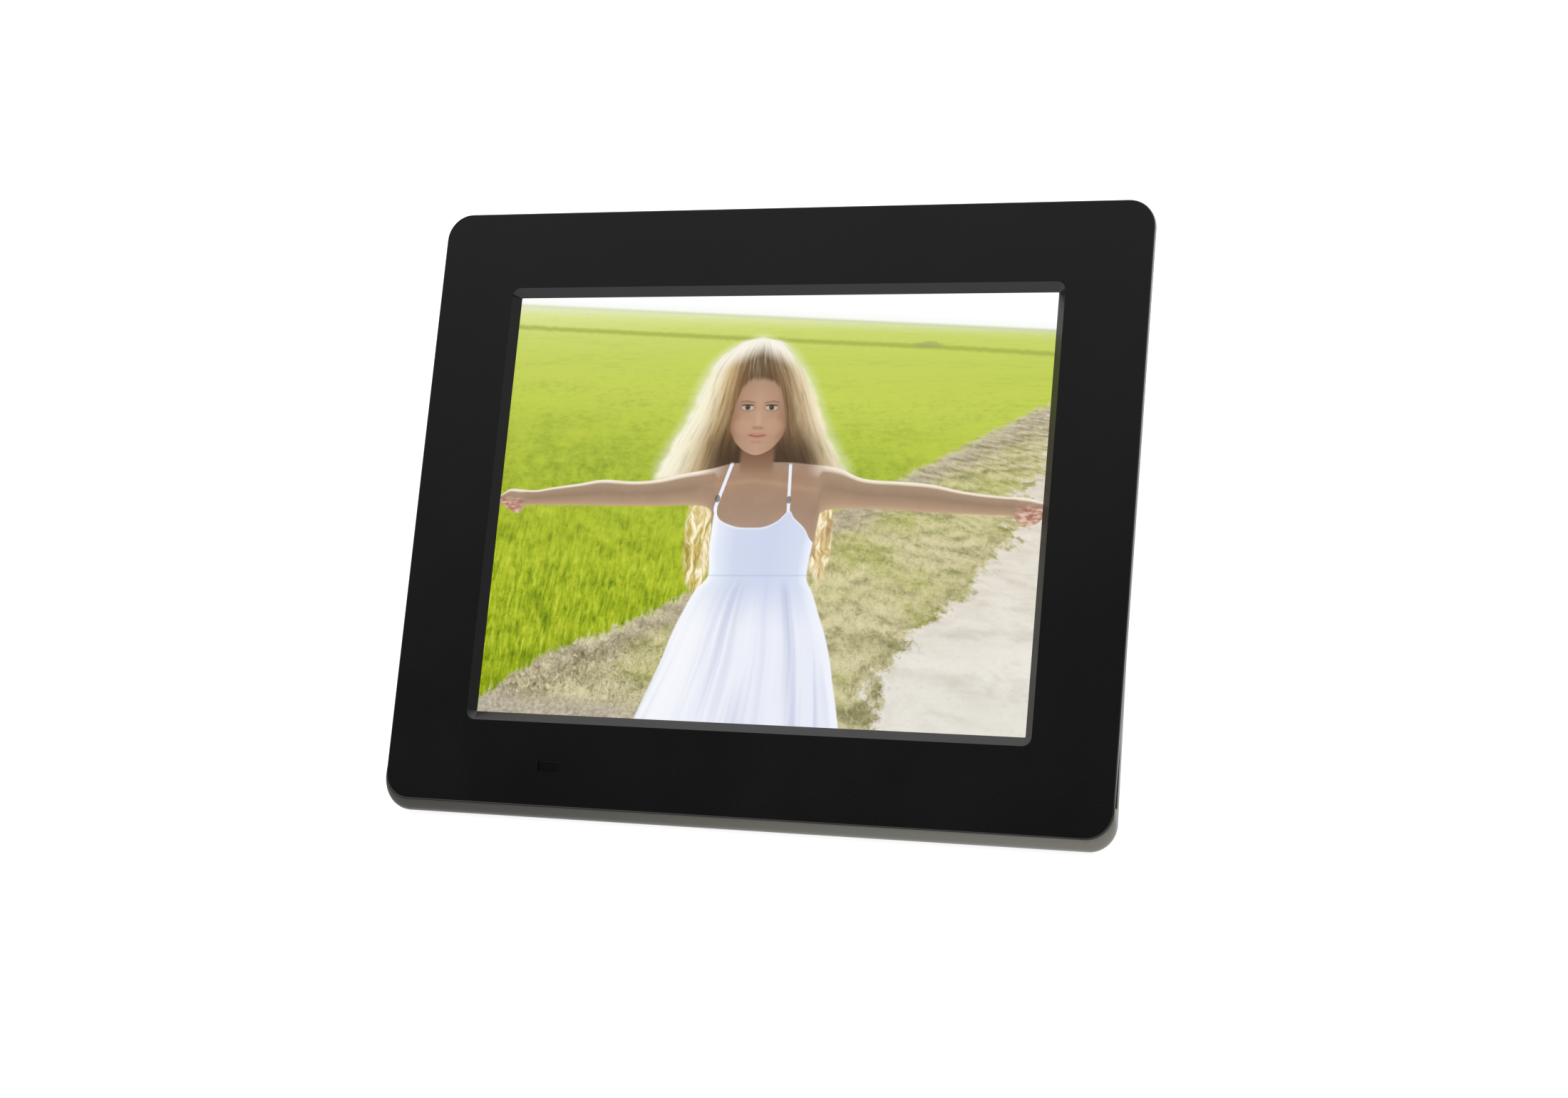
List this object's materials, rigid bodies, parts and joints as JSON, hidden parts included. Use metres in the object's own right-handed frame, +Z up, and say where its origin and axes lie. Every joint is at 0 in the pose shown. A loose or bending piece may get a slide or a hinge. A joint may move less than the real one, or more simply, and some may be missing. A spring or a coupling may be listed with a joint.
{
  "type": "digital photo frame",
  "caption": "Desktop digital photo frame: flat black surround, lit landscape screen, rear keys, side sockets and a fold-out leg.",
  "frame": {"origin": "centre of the footprint on the table, with the leg open", "axes": "+Z up, the screen faces -Y and leans back 14.4 degrees, +X to the viewer's right"},
  "size_m": [0.2144, 0.0699, 0.1715],
  "materials": {
    "fascia_black": "satin black moulding",
    "ir_lens": "smoked, glossy",
    "gasket_foam": "black foam",
    "lcd_steel": "pressed steel",
    "lcd_glass": "lit picture behind an anti-glare film",
    "films": "white translucent film",
    "light_guide": "clear acrylic",
    "led_board": "white board with lamps",
    "lcd_tray": "white moulding",
    "flat_cable": "amber polyimide",
    "circuit_board": "green solder mask",
    "chip_black": "moulded package",
    "ferrite": "ferrite",
    "capacitor_can": "sleeved can",
    "white_nylon": "white nylon",
    "grey_ribbon": "grey ribbon cable",
    "socket_steel": "plated steel",
    "jack_black": "black moulding",
    "pin_metal": "plated",
    "switch_body": "black moulding",
    "speaker_metal": "black",
    "speaker_paper": "dark cone",
    "cover_black": "fine-textured black moulding",
    "pad_rubber": "black rubber",
    "screw_black": "blackened steel",
    "leg_black": "fine-textured black moulding",
    "pin_steel": "drawn steel",
    "key_black": "satin black key"
  },
  "bodies": {
    "housing": {"front_fascia": "fascia_black", "ir_window": "ir_lens", "screen_gasket": "gasket_foam", "lcd_steel_frame": "lcd_steel", "lcd_panel": "lcd_glass", "lcd_diffuser_films": "films", "lcd_light_guide": "light_guide", "lcd_reflector_film": "films", "lcd_led_strip": "led_board", "lcd_back_tray": "lcd_tray", "lcd_flat_cable": "flat_cable", "main_board": "circuit_board", "processor_chip": "chip_black", "memory_chips": "chip_black", "power_coils": "ferrite", "capacitors": "capacitor_can", "ribbon_headers": "white_nylon", "key_ribbon": "grey_ribbon", "card_socket": "socket_steel", "usb_socket_shell": "socket_steel", "mini_usb_socket": "socket_steel", "usb_tongue": "white_nylon", "dc_jack": "jack_black", "dc_jack_pin": "pin_metal", "key_board": "circuit_board", "key_switches": "switch_body", "ir_board": "circuit_board", "ir_receiver": "ir_lens", "ir_lead": "grey_ribbon", "speaker_left": "speaker_metal", "speaker_right": "speaker_metal", "speaker_cone_left": "speaker_paper", "speaker_cone_right": "speaker_paper", "rear_cover": "cover_black", "base_pads": "pad_rubber", "cover_screws": "screw_black", "main_board_screws": "screw_black", "key_board_screws": "screw_black", "hinge_pin": "pin_steel"},
    "leg": {"stand_leg": "leg_black", "leg_foot_pad": "pad_rubber"},
    "key_power": {"key_power": "key_black"},
    "key_up": {"key_up": "key_black"},
    "key_down": {"key_down": "key_black"},
    "key_left": {"key_left": "key_black"},
    "key_right": {"key_right": "key_black"},
    "key_enter": {"key_enter": "key_black"},
    "key_menu": {"key_menu": "key_black"},
    "key_back": {"key_back": "key_black"}
  },
  "joints": [
    {"name": "leg_hinge", "type": "hinge", "parent": "housing", "child": "leg", "pos_m": [0, 0.00971, 0.10841], "axis": [1, 0, 0], "range_deg": [-26.4, 0]},
    {"name": "key_power_press", "type": "slide", "parent": "housing", "child": "key_power", "axis": [0, -0.9686, 0.2487], "range_m": [0, 0.0004], "stiffness_N_per_m": 800, "springref_m": -0.0004},
    {"name": "key_up_press", "type": "slide", "parent": "housing", "child": "key_up", "axis": [0, -0.9686, 0.2487], "range_m": [0, 0.0004], "stiffness_N_per_m": 800, "springref_m": -0.0004},
    {"name": "key_down_press", "type": "slide", "parent": "housing", "child": "key_down", "axis": [0, -0.9686, 0.2487], "range_m": [0, 0.0004], "stiffness_N_per_m": 800, "springref_m": -0.0004},
    {"name": "key_left_press", "type": "slide", "parent": "housing", "child": "key_left", "axis": [0, -0.9686, 0.2487], "range_m": [0, 0.0004], "stiffness_N_per_m": 800, "springref_m": -0.0004},
    {"name": "key_right_press", "type": "slide", "parent": "housing", "child": "key_right", "axis": [0, -0.9686, 0.2487], "range_m": [0, 0.0004], "stiffness_N_per_m": 800, "springref_m": -0.0004},
    {"name": "key_enter_press", "type": "slide", "parent": "housing", "child": "key_enter", "axis": [0, -0.9686, 0.2487], "range_m": [0, 0.0004], "stiffness_N_per_m": 800, "springref_m": -0.0004},
    {"name": "key_menu_press", "type": "slide", "parent": "housing", "child": "key_menu", "axis": [0, -0.9686, 0.2487], "range_m": [0, 0.0004], "stiffness_N_per_m": 800, "springref_m": -0.0004},
    {"name": "key_back_press", "type": "slide", "parent": "housing", "child": "key_back", "axis": [0, -0.9686, 0.2487], "range_m": [0, 0.0004], "stiffness_N_per_m": 800, "springref_m": -0.0004}
  ]
}
